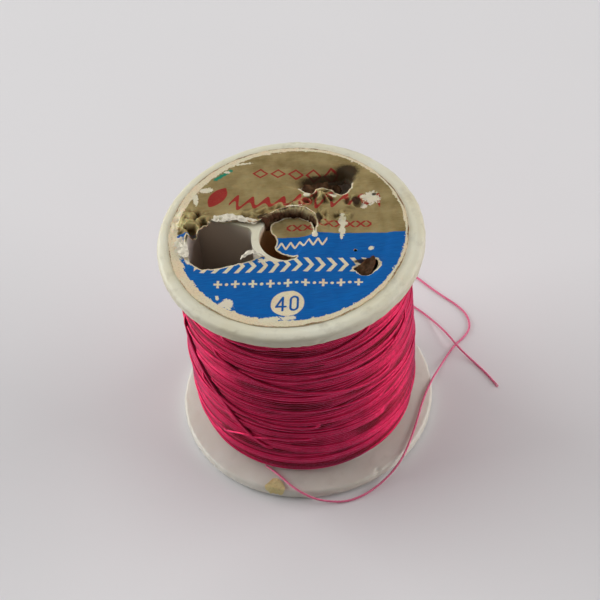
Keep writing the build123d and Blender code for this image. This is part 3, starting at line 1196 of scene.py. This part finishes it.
def make_paper_scrap():
    """A scrap of label paper stuck on the bottom flange, its front edge bent over the rim."""
    section = radius_and_height("bottom_flange")
    upper = section[section[:, 1] > section[:, 1].max() - upper_face_drop]
    # From the middle outwards, then down the rim
    upper = upper[np.argsort(upper[:, 0] - upper[:, 1] * 0.01)]

    def lift(spots):
        radius = np.hypot(*spots.T)
        surface = np.interp(radius, upper[:, 0], upper[:, 1])
        overhang = np.maximum(radius - flange_radius, 0) * rim_slope
        return surface - overhang + scrap_gap + 0.07 * creases(on_plane(spots), 0.8, 32.0)

    loop = torn_loop(scrap_outline, 0.08, 0.06, 0.05, 31.0)
    scrap = make_sheet("label_scrap", loop, 0.1, lift, scrap_thickness, [scrap_paper] * 2)
    place(scrap, "bare_paper", "paper_scrap")


make_paper_scrap()


# ---- Wound thread

strand_radius = thread_diameter / 2
strand_spacing = 0.29
strand_sides = 6
end_gap = 0.25
turn_steps = 120
uneven_twist = 0.6
noise_radius = 14.0
core_depth = 0.45
core_steps = 180

# The winding's outer surface, from the bottom up
outer_ring = winding_section[winding_section[:, 0] > barrel_radius + 0.05]
outer_ring = outer_ring[np.argsort(outer_ring[:, 1])]


def pack_radius(height):
    """Radius of the wound thread's surface at each height."""
    return np.interp(height, outer_ring[:, 1], outer_ring[:, 0])


def drift(turn, height, seed, reach, tall):
    """Noise about the spool, so that strands that lie together stray in the same way.

    Its lumps are as long round the spool as reach and as high as tall.
    """
    return waver(about_axis(noise_radius, turn, height * reach / tall) / reach, 1.0, seed)


def wind(name, runs):
    """One mesh of many strands.

    Each run is its angles, its heights, its depths under the surface, its radius and its tone.
    """
    tubes = []
    for turn, height, depth, radius, tone in runs:
        path = about_axis(pack_radius(height) - depth, turn, height)
        travel = travel_along(path) + uneven_twist * drift(turn, height, 77.0, 4.5, 0.25)
        outward = about_axis(1.0, turn, 0.0)
        tubes.append(tube(path, radius, strand_sides, outward, travel, tone))
    place(add_tubes(name, tubes, pack_thread), "pink_thread")


def wound_layer(depth, pitch, seed, sway):
    """A whole layer from the bottom turn to the top turn."""
    low = winding_low + end_gap
    high = winding_high - end_gap
    turns = (high - low) / pitch
    turn = np.linspace(0, turns * 2 * math.pi, int(turns * turn_steps))
    level = np.linspace(low, high, len(turn))
    ends = rise(level, low, low + 1.5) * rise(high - level, 0.0, 1.5)
    stray = drift(turn, level, seed, 16.0, 2.4) + 0.45 * drift(turn, level, seed + 1, 6.0, 1.1)
    bumps = 0.06 * drift(turn, level, seed + 2, 4.0, 0.4)
    bumps += 0.08 * drift(turn, level, seed + 3, 9.0, 1.0)
    tone = drift(turn, level, seed + 4, 11.0, 0.8) + 0.7 * drift(turn, level, seed + 5, 5.0, 0.3)
    return turn, level + sway * ends * stray, depth + bumps, strand_radius * 0.98, tone * 1.3


def side_by_side(turn, height, top, number, lean):
    """Strands that lie next to each other along one path, dipping under the rest at its ends."""
    runs = []
    for strand in range(number):
        level = np.clip(height - strand * strand_spacing, winding_low + 0.3, winding_high - 0.3)
        depth = 0.34 - top * (0.36 + lean * strand)
        runs.append((turn, level, depth, strand_radius * 0.97, 0.5 - 0.3 * (strand % 2)))
    return runs


def crossing_strands(count, seed):
    """Groups of strands that lie over the others at a slant."""
    pick = random.Random(seed)
    runs = []
    for _ in range(count):
        start = pick.uniform(0, 2 * math.pi)
        sweep = pick.uniform(0.5, 1.5) * math.pi
        low = pick.uniform(winding_low + 0.8, winding_high - 0.8)
        climb = pick.uniform(-1.9, 0.6) * sweep
        high = min(max(low + climb, winding_low + 0.6), winding_high - 0.6)
        steps = int(sweep / (2 * math.pi) * turn_steps)
        turn = np.linspace(start, start + sweep, steps)
        share = np.linspace(0, 1, steps)
        height = low + (high - low) * rise(share, -0.2, 1.2)
        height = height + 0.35 * drift(turn, height, seed + 1, 12.0, 3.0)
        top = rise(share, 0.0, 0.12) * rise(1 - share, 0.0, 0.12) * pick.uniform(0.75, 1.1)
        runs += side_by_side(turn, height, top, pick.choice((1, 1, 2, 3, 4)), -0.03)
    return runs


# Slack strands that stand out at the front: how many lie together, and their angle and height
# along the way
slack_strands = [
    (3, [(-176, 23.0), (-164, 21.1), (-157, 18.6), (-146, 16.4), (-136, 14.2), (-130, 12.1),
         (-123, 9.8), (-116, 8.4), (-108, 7.6)]),
    (1, [(-146, 6.6), (-135, 8.0), (-127, 9.4), (-121, 9.3), (-116, 9.7), (-110, 10.3),
         (-98, 10.5), (-84, 10.0)]),
    (2, [(-146, 23.6), (-132, 22.6), (-118, 21.3), (-105, 20.3), (-93, 19.5), (-77, 18.5),
         (-63, 17.6), (-50, 17.2), (-36, 17.5)]),
    (2, [(-160, 15.9), (-143, 15.0), (-133, 14.3), (-122, 13.7), (-112, 13.1), (-96, 12.6),
         (-80, 12.5)]),
    (2, [(-140, 27.2), (-124, 26.1), (-107, 25.7), (-94, 25.7), (-80, 25.6), (-62, 26.4),
         (-48, 27.3)]),
    (1, [(-128, 22.0), (-111, 21.7), (-100, 21.6), (-89, 21.4), (-76, 21.5), (-63, 20.9),
         (-47, 20.4), (-30, 21.8), (-20, 23.4)]),
]


def slack_runs():
    """The slack strands as smooth runs through their knots."""
    runs = []
    for number, knots in slack_strands:
        share = np.linspace(0, 1, 90)
        marks = np.linspace(0, 1, len(knots))
        weight = np.exp(-(((share[:, None] - marks[None, :]) * len(knots) / 1.1) ** 2))
        weight /= weight.sum(axis=1)[:, None]
        degrees, height = (weight @ np.array(knots, dtype=float)).T
        top = rise(share, 0.0, 0.1) * rise(1 - share, 0.0, 0.1) * 1.45
        runs += side_by_side(np.radians(degrees), height, top, number, -0.04)
    return runs


def make_core():
    """The solid middle of the winding, which shows only between strands."""
    heights = np.linspace(winding_low, winding_high, 60)
    rows = np.concatenate(([winding_low], heights, [winding_high]))
    inner = np.maximum(pack_radius(heights) - core_depth, barrel_radius)
    reach = np.concatenate(([barrel_radius], inner, [barrel_radius]))
    turn = np.tile(np.arange(core_steps) * 2 * math.pi / core_steps, len(rows))
    points = about_axis(np.repeat(reach, core_steps), turn, np.repeat(rows, core_steps))
    faces = grid_faces(len(rows), core_steps, wrap_columns=True)
    strand = about_axis(1.0, turn, points[:, 2] * 3)
    # The core's low tone is painted shade between the strands
    fields = {"strand": strand, "tone": np.full(len(points), -0.6)}
    core = add_mesh("thread_core", points, faces, [pack_thread], fields=fields, crease=40)
    place(core, "pink_thread", "thread_winding")


make_core()
wind("thread_under_layer", [wound_layer(0.36, 0.285, 41.0, 0.18)])
wind("thread_top_layer", [wound_layer(0.17, 0.31, 51.0, 0.6)])
wind("thread_crossing_strands", crossing_strands(40, 61))
wind("thread_slack_strands", slack_runs())


# ---- CAD nodes that are shown as they are

def repaint(node, finish):
    """Gives a CAD node its material."""
    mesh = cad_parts[node].data
    mesh.materials.clear()
    mesh.materials.append(finish)


repaint("barrel", barrel_plastic)
repaint("spindle_hub", hub_plastic)
repaint("bottom_label", bottom_print)


# ---- Floor and light

floor_half = 1500.0
aim = Vector((0, 0, 0.015))


def make_floor():
    """A pale, slightly uneven surface."""
    finish = Finish("floor", Roughness=0.9, Specular_IOR_Level=0.1)
    clouds = finish.noise(finish.position(), 0.02, 2.0)
    surface = finish.done(finish.coats(srgb(222, 220, 221), (clouds, srgb(226, 224, 225))))
    corners = [(-1, -1, 0), (1, -1, 0), (1, 1, 0), (-1, 1, 0)]
    floor = add_mesh("floor", np.array(corners) * floor_half, [[0, 1, 2, 3]], [surface])


def add_light(name, spot, size, power, colour):
    """A soft light of some width and height that points at the spool."""
    data = bpy.data.lights.new(name, "AREA")
    data.shape = "RECTANGLE"
    data.size, data.size_y = size
    data.energy = power
    data.color = colour
    light = add_object(name, data)
    light.location = spot
    light.rotation_euler = (aim - Vector(spot)).to_track_quat("-Z", "Y").to_euler()


def make_world():
    """A dim, even light from all round."""
    world = bpy.data.worlds.new("studio")
    world.use_nodes = True
    background = world.node_tree.nodes["Background"]
    background.inputs["Color"].default_value = (1.0, 0.985, 0.985, 1.0)
    background.inputs["Strength"].default_value = 0.1
    bpy.context.scene.world = world
    bpy.context.scene.view_settings.view_transform = "Standard"


make_floor()
add_light("overhead", (-0.06, 0.28, 0.8), (0.8, 0.8), 2.8, (1.0, 1.0, 1.0))
add_light("left_side", (-0.66, 0.24, 0.22), (0.7, 0.5), 6.2, (0.98, 1.0, 1.0))
add_light("right_side", (0.65, -0.02, 0.2), (0.7, 0.45), 4.3, (1.0, 0.98, 0.98))
make_world()
